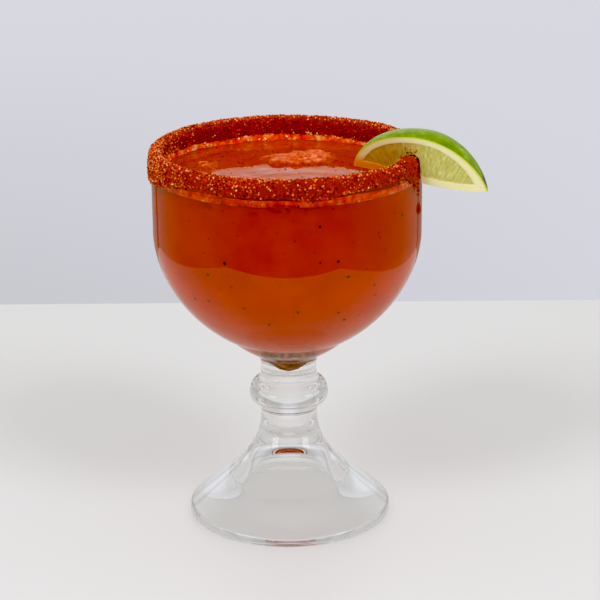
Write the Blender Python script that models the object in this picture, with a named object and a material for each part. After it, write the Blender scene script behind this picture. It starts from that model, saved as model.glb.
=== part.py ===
"""A michelada in a footed glass, with a chilli-salt rim and a wedge of lime.

The glass is one turned piece of thick clear glass: a round bowl with straight upper sides, a
stem with one knop, and a bell-shaped foot that is hollow underneath.  The drink fills its
cavity up to the level of the drink, and brown spice has settled in the funnel at the bottom.
Every turned piece is modelled about the axis of the glass, which the empty glass_axis places.
"""

import math

import bmesh
import bpy
from mathutils import Matrix, Vector, noise

MM = 0.001
GAP = 0.3 * MM
SIDES = 50

# Where the axis of the glass stands, so that the origin is the middle of the whole footprint.
AXIS_X = -11.6 * MM

# The glass
GLASS_HEIGHT = 162.5 * MM
BOWL_RADIUS = 56.5 * MM
WALL = 3.1 * MM
BOWL_SHOULDER = 127.0 * MM
BOWL_DEPTH = 54.0 * MM
BOWL_FULLNESS = 1.85
CAVITY_DEPTH = 42.0 * MM
CAVITY_FULLNESS = 1.9
COLLAR_RADIUS = 27.6 * MM
COLLAR_HEIGHT = 82.0 * MM
NECK_RADIUS = 11.9 * MM
NECK_BOTTOM = 63.5 * MM
NECK_TOP = 66.5 * MM
KNOP_RADIUS = 16.9 * MM
KNOP_HEIGHT = 54.5 * MM
STEM_RADIUS = 12.0 * MM
STEM_BOTTOM = 46.0 * MM
FOOT_RADIUS = 43.5 * MM
FOOT_EDGE = (42.6 * MM, 4.6 * MM)
FOOT_ROUNDING = 1.5 * MM
HOLLOW_RADIUS = 40.0 * MM
HOLLOW_SHOULDER = (20.5 * MM, 11.2 * MM)
HOLLOW_HEIGHT = 28.5 * MM
FUNNEL_RADIUS = 9.5 * MM
FUNNEL_TIP = 65.3 * MM

# The two handles of each curve in the outline of the glass, as (radius, height).
HOLLOW_DOME = ((9.0 * MM, HOLLOW_HEIGHT), (13.5 * MM, 20.5 * MM))
HOLLOW_SKIRT = ((23.0 * MM, 8.6 * MM), (31.0 * MM, 5.6 * MM))
FOOT_BEVEL = ((FOOT_RADIUS, 3.0 * MM), (FOOT_RADIUS, 4.0 * MM))
FOOT_SLOPE = ((22.8 * MM, 21.2 * MM), (STEM_RADIUS, 28.6 * MM))
KNOP_BELOW = ((12.7 * MM, 50.4 * MM), (KNOP_RADIUS, 49.4 * MM))
KNOP_ABOVE = ((KNOP_RADIUS, 60.5 * MM), (NECK_RADIUS, 60.3 * MM))
COLLAR_FLARE = ((NECK_RADIUS, 74.2 * MM), (16.0 * MM, 70.7 * MM))
FUNNEL_WALL = ((5.5 * MM, FUNNEL_TIP), (7.2 * MM, 80.0 * MM))

# What the glass holds
DRINK_LEVEL = 151.7 * MM
SEDIMENT_LEVEL = 83.4 * MM
SEDIMENT_HEAP = 1.0 * MM
SEDIMENT_GRAIN = 0.5 * MM
SEDIMENT_GRAIN_SPACING = 1.1 * MM

# The crust on the rim: how thick it lies on the glass and how far down it reaches.  It is
# thinner on top of the lip, the slit of the lime presses it thin, and it is piled up against
# the face of the lime.  On the far left it has slumped from the lip towards its lower edge.
CRUST_THICKNESS = 1.5 * MM
CRUST_TOP = 0.8 * MM
CRUST_PRESSED = 0.7 * MM
CRUST_OUTER_EDGE = 155.4 * MM
CRUST_INNER_EDGE = 154.2 * MM
CRUST_WAVE = 0.5 * MM
CRUST_BUMP = 0.55 * MM
CRUST_BUMP_SPACING = 2.4 * MM
CRUST_STEPS = 144
CRUST_PILE = (-27.0, 3.0, 1.0 * MM)
CRUST_SLUMP = (174.0, 26.0, 0.7 * MM)

# Runs of the crust below its edge, as azimuth and width in degrees, and length.
CRUST_RUNS = (
    (-166.0, 14.0, 4.8 * MM),
    (-120.0, 9.0, 0.9 * MM),
    (-75.0, 7.0, 1.0 * MM),
    (-27.5, 1.1, 3.0 * MM),
    (-22.5, 1.1, 6.8 * MM),
    (-17.5, 1.1, 9.2 * MM),
    (70.0, 10.0, 1.5 * MM),
)

# The wedge of lime: an eighth of a small lime cut along its length, on the rim by a slit.
LIME_AZIMUTH = math.radians(-17.2)
LIME_FROM_AXIS = 57.3 * MM
LIME_CORE_HEIGHT = 152.8 * MM
LIME_TILT = math.radians(7.2)
LIME_HALF_LENGTH = 28.4 * MM
LIME_RADIUS = 20.3 * MM
LIME_HALF_ANGLE = math.radians(21.3)
LIME_SAG = 1.8 * MM
LIME_TAPER = 1.455

# Lumps of ice that float at the surface: centre, size and seed of the unevenness.
ICE_LUMPS = {
    "ice_large": (Vector((5.5, 20.5, 146.4)) * MM, Vector((38.0, 25.0, 16.0)) * MM, 3.0),
    "ice_small": (Vector((-33.5, 10.0, 147.4)) * MM, Vector((13.5, 16.5, 11.0)) * MM, 8.0),
}
ICE_SQUARENESS = 3.0
ICE_UNEVENNESS = 0.10
ICE_POCKET = 0.4 * MM

# A drop of sauce on the outside of the glass, below the lime.
DROP_AZIMUTH = math.radians(-16.6)
DROP_HEIGHT = 139.9 * MM
DROP_SIZE = Vector((1.6, 2.8, 5.0)) * MM
DROP_FLAT_SIDE = 0.15
DROP_NARROWING = 0.45


# Scene and materials

def clear_scene():
    for item in list(bpy.data.objects):
        bpy.data.objects.remove(item, do_unlink=True)


def principled(name, colour, roughness, alpha=1.0):
    material = bpy.data.materials.new(name)
    material.use_nodes = True
    shader = material.node_tree.nodes["Principled BSDF"]
    shader.inputs["Base Color"].default_value = (*colour, 1.0)
    shader.inputs["Roughness"].default_value = roughness
    shader.inputs["Metallic"].default_value = 0.0
    shader.inputs["Alpha"].default_value = alpha
    return material


def add_object(name, mesh_edit, material, axis):
    """Turn an edited mesh into a smooth-shaded object that stands about the glass axis."""
    bmesh.ops.recalc_face_normals(mesh_edit, faces=mesh_edit.faces)
    mesh = bpy.data.meshes.new(name)
    mesh_edit.to_mesh(mesh)
    mesh_edit.free()
    mesh.shade_smooth()
    mesh.set_sharp_from_angle(angle=math.radians(35.0))
    if material:
        mesh.materials.append(material)
    item = bpy.data.objects.new(name, mesh)
    item.parent = axis
    bpy.context.scene.collection.objects.link(item)
    return item


# Outlines, as lists of (radius, height) points

def bezier(start, handles, end, steps):
    """Points along a cubic curve, without its start."""
    corners = (start, *handles, end)
    points = []
    for step in range(1, steps + 1):
        t = step / steps
        weights = ((1 - t) ** 3, 3 * (1 - t) ** 2 * t, 3 * (1 - t) * t ** 2, t ** 3)
        points.append(tuple(sum(w * c[i] for w, c in zip(weights, corners)) for i in (0, 1)))
    return points


def arc(centre, radius, first, last, steps):
    """Points along an arc, both ends included; angles in degrees from the +radius side."""
    points = []
    for step in range(steps + 1):
        angle = math.radians(first + (last - first) * step / steps)
        points.append((centre[0] + radius * math.cos(angle),
                       centre[1] + radius * math.sin(angle)))
    return points


def round_bowl(radius, depth, fullness, lowest_radius, steps):
    """The curve of a bowl from its lowest radius up to its widest, at BOWL_SHOULDER."""
    lowest = math.acos((lowest_radius / radius) ** (fullness / 2))
    points = []
    for step in range(steps + 1):
        angle = lowest * (1 - step / steps)
        points.append((radius * math.cos(angle) ** (2 / fullness),
                       BOWL_SHOULDER - depth * math.sin(angle) ** (2 / fullness)))
    return points


def foot_hollow():
    """The underside, from the top of the hollow's dome down to the ring that the foot rests on."""
    top = (0.0, HOLLOW_HEIGHT)
    dome = bezier(top, HOLLOW_DOME, HOLLOW_SHOULDER, 5)
    skirt = bezier(HOLLOW_SHOULDER, HOLLOW_SKIRT, (HOLLOW_RADIUS, 0.0), 3)
    return [top] + dome + skirt


def outside():
    """The outer face of the glass, from the resting ring up to the rim."""
    edge = FOOT_RADIUS - FOOT_ROUNDING
    points = arc((edge, FOOT_ROUNDING), FOOT_ROUNDING, -90, 0, 2)
    points += bezier(points[-1], FOOT_BEVEL, FOOT_EDGE, 2)
    points += bezier(points[-1], FOOT_SLOPE, (STEM_RADIUS, STEM_BOTTOM), 8)
    points += bezier(points[-1], KNOP_BELOW, (KNOP_RADIUS, KNOP_HEIGHT), 4)
    points += bezier(points[-1], KNOP_ABOVE, (NECK_RADIUS, NECK_BOTTOM), 4)
    points.append((NECK_RADIUS, NECK_TOP))
    points += bezier(points[-1], COLLAR_FLARE, (COLLAR_RADIUS, COLLAR_HEIGHT), 4)
    bowl_start = BOWL_RADIUS * (1 - ((BOWL_SHOULDER - COLLAR_HEIGHT) / BOWL_DEPTH)
                                ** BOWL_FULLNESS) ** (1 / BOWL_FULLNESS)
    points += round_bowl(BOWL_RADIUS, BOWL_DEPTH, BOWL_FULLNESS, bowl_start, 8)
    return points


def lip():
    """The rounded top of the wall, from its outer side to its inner side."""
    middle = (BOWL_RADIUS - WALL / 2, GLASS_HEIGHT - WALL / 2)
    return arc(middle, WALL / 2, 0, 180, 4)


def cavity():
    """The inner face of the glass, from the tip of the funnel up to the shoulder."""
    bowl = round_bowl(BOWL_RADIUS - WALL, CAVITY_DEPTH, CAVITY_FULLNESS, FUNNEL_RADIUS, 8)
    tip = (0.0, FUNNEL_TIP)
    funnel = bezier(tip, FUNNEL_WALL, bowl[0], 6)
    return [tip] + funnel + bowl[1:]


def inset(points, distance):
    """Points of the cavity's outline moved in from the wall, towards the drink."""
    moved = []
    for index, point in enumerate(points):
        before = points[max(index - 1, 0)]
        after = points[min(index + 1, len(points) - 1)]
        if point[0] == 0.0:
            before = (-after[0], after[1])
        along = Vector((after[0] - before[0], after[1] - before[1])).normalized()
        moved.append((point[0] - along.y * distance, point[1] + along.x * distance))
    return moved


def part_below(points, level):
    """The outline up to a level, ending exactly there."""
    kept = [point for point in points if point[1] < level]
    low, high = kept[-1], points[len(kept)]
    share = (level - low[1]) / (high[1] - low[1])
    kept.append((low[0] + share * (high[0] - low[0]), level))
    return kept


def turned(outline, sides=SIDES):
    """A closed solid of revolution from an outline that starts and ends on the axis."""
    mesh_edit = bmesh.new()
    points = [mesh_edit.verts.new((radius, 0.0, height)) for radius, height in outline]
    edges = [mesh_edit.edges.new(pair) for pair in zip(points, points[1:])]
    bmesh.ops.spin(mesh_edit, geom=points + edges, cent=(0, 0, 0), axis=(0, 0, 1),
                   angle=math.tau, steps=sides, use_merge=True)
    bmesh.ops.remove_doubles(mesh_edit, verts=mesh_edit.verts, dist=0.001 * MM)
    return mesh_edit


# Pieces

def make_glass(axis):
    inner = cavity()
    outline = foot_hollow() + outside() + lip() + inner[::-1]
    material = principled("clear_glass", (0.90, 0.93, 0.94), 0.02, alpha=0.35)
    return add_object("glass", turned(outline), material, axis)


def make_sediment(axis):
    """Spice settled in the funnel, with a low heap on top and grains in relief."""
    wall = part_below(inset(cavity(), GAP), SEDIMENT_LEVEL)
    outer_radius = wall[-1][0]
    heap = [(outer_radius * share, SEDIMENT_LEVEL + SEDIMENT_HEAP * (1 - share ** 2))
            for share in (0.75, 0.5, 0.25, 0.0)]
    mesh_edit = turned(wall + heap, sides=24)
    for point in mesh_edit.verts:
        grain = abs(noise.noise(point.co / SEDIMENT_GRAIN_SPACING)) * SEDIMENT_GRAIN
        outward = Vector((point.co.x, point.co.y, 0.0)).normalized()
        point.co -= outward * min(grain, 0.2 * outward.dot(point.co))
    material = principled("spice", (0.26, 0.09, 0.03), 0.9)
    return add_object("sediment", mesh_edit, material, axis)


def make_drink(axis, pockets):
    """The drink, from the spice to its level, cut round what floats in it."""
    wall = inset(cavity() + [(BOWL_RADIUS - WALL, GLASS_HEIGHT)], GAP)
    bottom = SEDIMENT_LEVEL + SEDIMENT_HEAP + GAP
    side = [point for point in part_below(wall, DRINK_LEVEL) if point[1] > bottom]
    outline = [(0.0, bottom), (0.85 * side[0][0], bottom)] + side + [(0.0, DRINK_LEVEL)]
    material = principled("tomato_beer", (0.62, 0.10, 0.02), 0.08)
    drink = add_object("drink", turned(outline), material, axis)
    for pocket in pockets:
        cut = drink.modifiers.new(pocket.name, "BOOLEAN")
        cut.operation = "DIFFERENCE"
        cut.object = pocket
    return drink


def nearness(azimuth, centre, width):
    """1 at the centre azimuth and falling smoothly to 0; all in degrees."""
    away = (azimuth - centre + 180.0) % 360.0 - 180.0
    return math.exp(-0.5 * (away / width) ** 2)


def pressed(azimuth):
    """1 where the slit of the lime holds the crust, 0 from 8.6 degrees away."""
    away = abs((azimuth - math.degrees(LIME_AZIMUTH) + 180.0) % 360.0 - 180.0)
    share = min(max((8.6 - away) / 2.0, 0.0), 1.0)
    return share * share * (3 - 2 * share)


def crust_section(azimuth):
    """One cut through the crust: points on its open side, then on the side to the glass."""
    pile = CRUST_PILE[2] * nearness(azimuth, *CRUST_PILE[:2])
    thick = CRUST_THICKNESS + pile
    thick += (CRUST_PRESSED - thick) * pressed(azimuth)
    piled = nearness(azimuth, *CRUST_PILE[:2])
    top = thick - (CRUST_THICKNESS - CRUST_TOP) * (1 - piled) * (1 - pressed(azimuth))
    run = sum(length * nearness(azimuth, centre, width) for centre, width, length in CRUST_RUNS)
    angle = math.radians(azimuth)
    wave = CRUST_WAVE * (math.sin(5 * angle) + 0.6 * math.sin(11 * angle + 0.7))
    outer_edge = CRUST_OUTER_EDGE + wave - run
    inner_edge = CRUST_INNER_EDGE + 0.6 * wave
    middle = BOWL_RADIUS - WALL / 2
    shoulder = GLASS_HEIGHT - WALL / 2
    half = WALL / 2 + GAP
    outer, inner = middle + half, middle - half
    slumped = nearness(azimuth, *CRUST_SLUMP[:2])
    open_side = [(outer, outer_edge),
                 (outer + (0.75 + 0.3 * slumped) * thick, outer_edge + 0.6 * thick),
                 (outer + thick, (outer_edge + shoulder) / 2)]
    flatness = (half + top) / (half + thick)
    narrowness = (half + thick - CRUST_SLUMP[2] * slumped) / (half + thick)
    for radius, height in arc((middle, shoulder), half + thick, 0, 180, 4):
        if radius > middle:
            radius = middle + (radius - middle) * narrowness
        open_side.append((radius, shoulder + (height - shoulder) * flatness))
    open_side += [(inner - 0.75 * thick, inner_edge + 0.6 * thick),
                  (inner, inner_edge)]
    glass_side = arc((middle, shoulder), half, 180, 0, 4)
    return open_side, glass_side


def make_crust(axis):
    """The crust, a ring of grains stuck round the rim, with bumps of grains in relief."""
    mesh_edit = bmesh.new()
    rings = []
    for step in range(CRUST_STEPS):
        azimuth = 360.0 * step / CRUST_STEPS
        turn = Matrix.Rotation(math.radians(azimuth), 3, "Z")
        open_side, glass_side = crust_section(azimuth)
        ring = []
        for index, (radius, height) in enumerate(open_side + glass_side):
            place = turn @ Vector((radius, 0.0, height))
            if 0 < index < len(open_side) - 1:
                level = min(height, GLASS_HEIGHT - WALL / 2)
                wall_middle = turn @ Vector((BOWL_RADIUS - WALL / 2, 0.0, level))
                bump = noise.noise(place / CRUST_BUMP_SPACING) * (1 - pressed(azimuth))
                place += (place - wall_middle).normalized() * CRUST_BUMP * bump
            ring.append(mesh_edit.verts.new(place))
        rings.append(ring)
    for ring, following in zip(rings, rings[1:] + rings[:1]):
        for index in range(len(ring)):
            after = (index + 1) % len(ring)
            mesh_edit.faces.new((ring[index], following[index], following[after], ring[after]))
    material = principled("chilli_salt", (0.45, 0.05, 0.01), 0.8)
    return add_object("rim_crust", mesh_edit, material, axis)


def make_lime(axis):
    """A wedge with its core edge down and its rind up, slit so that it sits on the rim.

    Its outer end tapers more than its inner one.
    """
    stations = 22
    rind_points = 11
    mesh_edit = bmesh.new()
    rings = []
    for station in range(1, stations):
        turn = math.pi * station / stations
        along = -math.cos(turn)
        sag = LIME_SAG * (1 - along ** 2) * (1 + along)
        radius = LIME_RADIUS * math.sin(turn) ** (LIME_TAPER if along > 0 else 1.0)
        ring = [mesh_edit.verts.new((along * LIME_HALF_LENGTH, 0.0, -sag))]
        for index in range(rind_points):
            angle = LIME_HALF_ANGLE * (2 * index / (rind_points - 1) - 1)
            ring.append(mesh_edit.verts.new((along * LIME_HALF_LENGTH, radius * math.sin(angle),
                                             radius * math.cos(angle))))
        rings.append(ring)
    tips = [mesh_edit.verts.new((side * LIME_HALF_LENGTH, 0.0, 0.0)) for side in (-1, 1)]
    for ring, following in zip(rings, rings[1:]):
        for index in range(len(ring)):
            after = (index + 1) % len(ring)
            mesh_edit.faces.new((ring[index], ring[after], following[after], following[index]))
    for tip, ring in ((tips[0], rings[0]), (tips[1], rings[-1])):
        for index in range(len(ring)):
            mesh_edit.faces.new((tip, ring[index], ring[(index + 1) % len(ring)]))
    lime = add_object("lime_wedge", mesh_edit, principled("lime", (0.45, 0.62, 0.12), 0.4), axis)
    lime.location = (LIME_FROM_AXIS * math.cos(LIME_AZIMUTH),
                     LIME_FROM_AXIS * math.sin(LIME_AZIMUTH), LIME_CORE_HEIGHT)
    lime.rotation_euler = (0.0, LIME_TILT, LIME_AZIMUTH)
    slit = lime.modifiers.new("slit", "BOOLEAN")
    slit.operation = "DIFFERENCE"
    slit.object = slit_cutter(axis)
    return lime


def slit_cutter(axis):
    """A ring that follows the pressed crust with a gap all round and opens downwards."""
    clear = GAP + CRUST_PRESSED + GAP
    middle = BOWL_RADIUS - WALL / 2
    shoulder = GLASS_HEIGHT - WALL / 2
    half = WALL / 2 + clear
    bottom = LIME_CORE_HEIGHT - LIME_HALF_LENGTH
    section = arc((middle, shoulder), half, 0, 180, 6)
    section += [(middle - half, bottom), (middle + half, bottom)]
    mesh_edit = bmesh.new()
    points = [mesh_edit.verts.new((radius, 0.0, height)) for radius, height in section]
    edges = [mesh_edit.edges.new(pair) for pair in zip(points, points[1:] + points[:1])]
    bmesh.ops.spin(mesh_edit, geom=points + edges, cent=(0, 0, 0), axis=(0, 0, 1),
                   angle=math.tau, steps=120, use_merge=True)
    cutter = add_object("slit_cutter", mesh_edit, None, axis)
    cutter.hide_render = True
    cutter.display_type = "WIRE"
    return cutter


def lump(centre, size, seed, grow=0.0):
    """A rounded, slightly uneven block; grow adds to it all round."""
    mesh_edit = bmesh.new()
    bmesh.ops.create_cube(mesh_edit, size=2.0)
    bmesh.ops.subdivide_edges(mesh_edit, edges=mesh_edit.edges, cuts=4, use_grid_fill=True)
    for point in mesh_edit.verts:
        power = sum(abs(value) ** ICE_SQUARENESS for value in point.co)
        shape = point.co / power ** (1 / ICE_SQUARENESS)
        uneven = 1 + ICE_UNEVENNESS * noise.noise(shape * 1.4 + Vector((seed, 0.0, 0.0)))
        place = shape * size / 2 * uneven
        point.co = centre + place + place.normalized() * grow
    return mesh_edit


def make_ice(axis):
    """The lumps of ice, and a pocket for each that is larger by the gap."""
    material = principled("ice", (0.80, 0.35, 0.22), 0.25)
    pockets = []
    for name, (centre, size, seed) in ICE_LUMPS.items():
        add_object(name, lump(centre, size, seed), material, axis)
        pocket = add_object(name + "_pocket", lump(centre, size, seed, ICE_POCKET), None, axis)
        pocket.hide_render = True
        pocket.display_type = "WIRE"
        pockets.append(pocket)
    return pockets


def make_drop(axis):
    """A drop of sauce hanging on the outside of the glass."""
    mesh_edit = bmesh.new()
    bmesh.ops.create_icosphere(mesh_edit, subdivisions=2, radius=0.5)
    for point in mesh_edit.verts:
        narrow = 1 - DROP_NARROWING * (0.5 - point.co.z)
        point.co = point.co * DROP_SIZE * narrow
        point.co.x = max(point.co.x, -DROP_FLAT_SIDE * DROP_SIZE.x)
    drop = add_object("sauce_drop", mesh_edit, principled("sauce", (0.30, 0.01, 0.005), 0.15), axis)
    reach = BOWL_RADIUS + GAP + DROP_FLAT_SIDE * DROP_SIZE.x
    drop.location = (reach * math.cos(DROP_AZIMUTH), reach * math.sin(DROP_AZIMUTH), DROP_HEIGHT)
    drop.rotation_euler = (0.0, 0.0, DROP_AZIMUTH)
    return drop


def main():
    clear_scene()
    axis = bpy.data.objects.new("glass_axis", None)
    axis.location = (AXIS_X, 0.0, 0.0)
    bpy.context.scene.collection.objects.link(axis)
    make_glass(axis)
    make_sediment(axis)
    make_drink(axis, make_ice(axis))
    make_crust(axis)
    make_lime(axis)
    make_drop(axis)


main()
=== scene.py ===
import math
import random

import bmesh
import bpy
from mathutils import Matrix, Vector, noise


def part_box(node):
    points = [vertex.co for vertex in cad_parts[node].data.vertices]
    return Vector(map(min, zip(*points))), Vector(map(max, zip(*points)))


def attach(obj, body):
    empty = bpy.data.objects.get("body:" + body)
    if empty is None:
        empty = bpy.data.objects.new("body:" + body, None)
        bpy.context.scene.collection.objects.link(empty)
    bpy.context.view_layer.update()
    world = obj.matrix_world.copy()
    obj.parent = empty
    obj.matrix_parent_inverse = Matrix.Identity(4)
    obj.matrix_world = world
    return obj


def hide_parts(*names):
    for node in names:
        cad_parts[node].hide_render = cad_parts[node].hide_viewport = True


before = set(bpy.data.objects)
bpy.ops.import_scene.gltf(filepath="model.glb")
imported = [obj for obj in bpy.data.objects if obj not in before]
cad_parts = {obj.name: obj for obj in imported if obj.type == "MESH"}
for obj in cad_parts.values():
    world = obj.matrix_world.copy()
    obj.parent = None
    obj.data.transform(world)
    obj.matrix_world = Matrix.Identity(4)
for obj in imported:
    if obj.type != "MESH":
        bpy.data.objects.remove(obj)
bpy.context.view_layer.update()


# The glass
# A footed goblet of thick clear soda-lime glass, pressed in a mould and polished in the flame:
# a round bowl with straight upper sides, a stem with one knop, and a bell-shaped foot that is
# hollow underneath.  It is one turned piece, so its whole form is one outline and an axis.

MM = 0.001
AXIS_X = sum(corner.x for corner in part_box("glass")) / 2
AXIS = Vector((AXIS_X, 0.0, 0.0))
GLASS_HEIGHT = 162.5
BOWL_RADIUS = 56.5
BOWL_SHOULDER = 127.0
BOWL_DEPTH = 54.0
BOWL_FULLNESS = 1.85
BOWL_START = 82.0
WALL = 3.1
CAVITY_DEPTH = 42.0
CAVITY_FULLNESS = 1.9
FUNNEL_MOUTH_RADIUS = 9.5
FUNNEL_TIP = 65.3
NECK_RADIUS = 11.9
KNOP_RADIUS = 16.9
FOOT_RADIUS = 43.5
FOOT_EDGE = 1.5
DOME_TOP = 28.5
LIP_HEIGHT = GLASS_HEIGHT - WALL / 2
LIP_RADIUS = BOWL_RADIUS - WALL / 2
GLASS_SIDES = 256
GLASS_BODY_COLOUR = (0.985, 0.992, 0.990)
GLASS_INDEX = 1.51


class Wire:
    """The output of a node, so that sums on it read as a Python expression."""

    def __init__(self, nodes, socket):
        self.nodes, self.socket = nodes, socket

    def of(self, name):
        """Another output of the same node."""
        outputs = self.socket.node.outputs
        return Wire(self.nodes, next(s for s in outputs if s.name == name and s.enabled))

    def is_vector(self):
        return self.socket.type in ("VECTOR", "RGBA")

    def maths(self, operation, *values):
        vector = any(v.is_vector() if isinstance(v, Wire) else isinstance(v, (tuple, Vector))
                     for v in values)
        kind = "ShaderNodeVectorMath" if vector else "ShaderNodeMath"
        return self.nodes.add(kind, {"operation": operation}, *values)

    def __add__(self, other):
        return self.maths("ADD", self, other)

    def __sub__(self, other):
        return self.maths("SUBTRACT", self, other)

    def __rsub__(self, other):
        return self.maths("SUBTRACT", other, self)

    def __mul__(self, other):
        return self.maths("MULTIPLY", self, other)

    def __truediv__(self, other):
        return self.maths("DIVIDE", self, other)

    __radd__ = __add__
    __rmul__ = __mul__


class Nodes:
    """A node tree that is being built."""

    def __init__(self, tree):
        self.tree = tree

    def add(self, kind, settings=None, *values, **named):
        """Adds a node, with its settings, then its sockets by place or by name."""
        node = self.tree.nodes.new(kind)
        for setting, value in (settings or {}).items():
            if setting == "stops":
                stops = node.color_ramp.elements
                while len(stops) < len(value):
                    stops.new(1.0)
                for stop, (position, colour) in zip(stops, value):
                    stop.position, stop.color = position, (*colour, 1.0)
            else:
                setattr(node, setting, value)
        for place, value in [*enumerate(values), *named.items()]:
            self.fill(node, place, value)
        return Wire(self, next(socket for socket in node.outputs if socket.enabled))

    def fill(self, node, place, value):
        usable = [socket for socket in node.inputs if socket.enabled]
        if isinstance(place, str):
            place = [socket.name for socket in usable].index(place.replace("_", " "))
        if isinstance(value, Wire):
            self.tree.links.new(value.socket, usable[place])
        elif usable[place].type == "RGBA" and len(value) == 3:
            usable[place].default_value = (*value, 1.0)
        else:
            usable[place].default_value = value

    def ramp(self, factor, *stops):
        return self.add("ShaderNodeValToRGB", {"stops": stops}, factor)

    def mix(self, factor, first, second):
        return self.add("ShaderNodeMix", {"data_type": "RGBA"}, factor, first, second)

    def between(self, value, low, high, step="SMOOTHSTEP"):
        """0 below low, 1 above high and a smooth or a straight step between."""
        return self.add("ShaderNodeMapRange", {"interpolation_type": step}, value, low, high,
                        0.0, 1.0)


def put(name, data):
    """A new object in the scene, at the origin."""
    item = bpy.data.objects.new(name, data)
    bpy.context.scene.collection.objects.link(item)
    return item


def settle(item):
    """Gives an object the mesh that its modifiers make, and no modifiers."""
    depsgraph = bpy.context.evaluated_depsgraph_get()
    mesh = bpy.data.meshes.new_from_object(item.evaluated_get(depsgraph), depsgraph=depsgraph)
    item.modifiers.clear()
    item.data = mesh
    mesh.name = item.name
    return item


class Growth(Nodes):
    """A Geometry Nodes tree with named inputs, and what it makes."""

    KINDS = {"geometry": "NodeSocketGeometry", "whole": "NodeSocketInt",
             "size": "NodeSocketFloat", "finish": "NodeSocketMaterial",
             "shapes": "NodeSocketCollection"}

    def __init__(self, name, **inputs):
        super().__init__(bpy.data.node_groups.new(name, "GeometryNodeTree"))
        for label, kind in inputs.items():
            self.tree.interface.new_socket(label, in_out="INPUT", socket_type=self.KINDS[kind])
        self.tree.interface.new_socket("Result", in_out="OUTPUT",
                                       socket_type="NodeSocketGeometry")
        self.entry = self.tree.nodes.new("NodeGroupInput")

    def __getitem__(self, label):
        return Wire(self, self.entry.outputs[label])

    def end(self, geometry):
        real = self.add("GeometryNodeRealizeInstances", None, geometry)
        done = self.add("GeometryNodeSetMaterial", None, real, Material=self["finish"])
        out = self.tree.nodes.new("NodeGroupOutput")
        self.tree.links.new(done.socket, out.inputs[0])

    def make(self, name, mesh, **values):
        """Runs the tree on a mesh and keeps the result as a plain piece."""
        piece = put(name, mesh)
        modifier = piece.modifiers.new(name, "NODES")
        modifier.node_group = self.tree
        for socket in self.tree.interface.items_tree:
            if socket.name in values:
                modifier[socket.identifier] = values[socket.name]
        return settle(piece)


class Finish(Nodes):
    """A material on one Principled shader."""

    MOST_REFLECTIONS = 3.0

    def __init__(self, name, **constants):
        self.material = bpy.data.materials.new(name)
        self.material.use_nodes = True
        super().__init__(self.material.node_tree)
        self.shader = self.tree.nodes["Principled BSDF"]
        self.set(**constants)

    def set(self, **sockets):
        for label, value in sockets.items():
            self.fill(self.shader, label, value)

    def place(self):
        return self.add("ShaderNodeTexCoord").of("Object")

    def xyz(self):
        return self.add("ShaderNodeSeparateXYZ", None, self.place())

    def noise(self, scale, detail=2.0, roughness=0.5, at=None):
        return self.add("ShaderNodeTexNoise", None, Vector=at or self.place(), Scale=scale,
                        Detail=detail, Roughness=roughness)

    def bump(self, height, distance, strength=1.0):
        self.set(Normal=self.add("ShaderNodeBump", None, Height=height, Distance=distance,
                                 Strength=strength))

    def let_light_through(self):
        """Lets light reach what is inside or behind the piece, and trapped light leave it."""
        ways = self.add("ShaderNodeLightPath")
        passing = ways.maths("MAXIMUM", ways.of("Is Shadow Ray"), ways.of("Is Diffuse Ray"))
        trapped = ways.maths("GREATER_THAN", ways.of("Glossy Depth"), self.MOST_REFLECTIONS)
        passing = ways.maths("MAXIMUM", passing, trapped)
        clear = self.add("ShaderNodeBsdfTransparent", None, (0.90, 0.90, 0.90))
        mixed = self.add("ShaderNodeMixShader", None, passing, Wire(self, self.shader.outputs[0]),
                         clear)
        self.tree.links.new(mixed.socket, self.tree.nodes["Material Output"].inputs["Surface"])


def bezier(start, handles, end, steps):
    """Points along a cubic curve, without its start."""
    corners = (start, *handles, end)
    points = []
    for step in range(1, steps + 1):
        t = step / steps
        weights = ((1 - t) ** 3, 3 * (1 - t) ** 2 * t, 3 * (1 - t) * t ** 2, t ** 3)
        points.append(tuple(sum(w * c[i] for w, c in zip(weights, corners)) for i in (0, 1)))
    return points


def arc(centre, radius, first, last, steps):
    """Points along an arc, both ends included, by angles in degrees from +radius."""
    turns = [math.radians(first + (last - first) * step / steps) for step in range(steps + 1)]
    return [(centre[0] + radius * math.cos(turn), centre[1] + radius * math.sin(turn))
            for turn in turns]


def round_bowl(radius, depth, fullness, lowest_radius, steps):
    """The curve of a bowl from its lowest radius up to its widest, at the shoulder."""
    lowest = math.acos((lowest_radius / radius) ** (fullness / 2))
    turns = [lowest * (1 - step / steps) for step in range(steps + 1)]
    return [(radius * math.cos(turn) ** (2 / fullness),
             BOWL_SHOULDER - depth * math.sin(turn) ** (2 / fullness)) for turn in turns]


def under_foot():
    """The hollow of the foot, from the top of its dome down to the resting ring."""
    dome = [(0.0, DOME_TOP)]
    dome += bezier(dome[0], ((9.0, DOME_TOP), (13.5, 20.5)), (20.5, 11.2), 28)
    return dome + bezier(dome[-1], ((23.0, 8.6), (31.0, 5.6)), (40.0, 0.0), 16)


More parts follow.
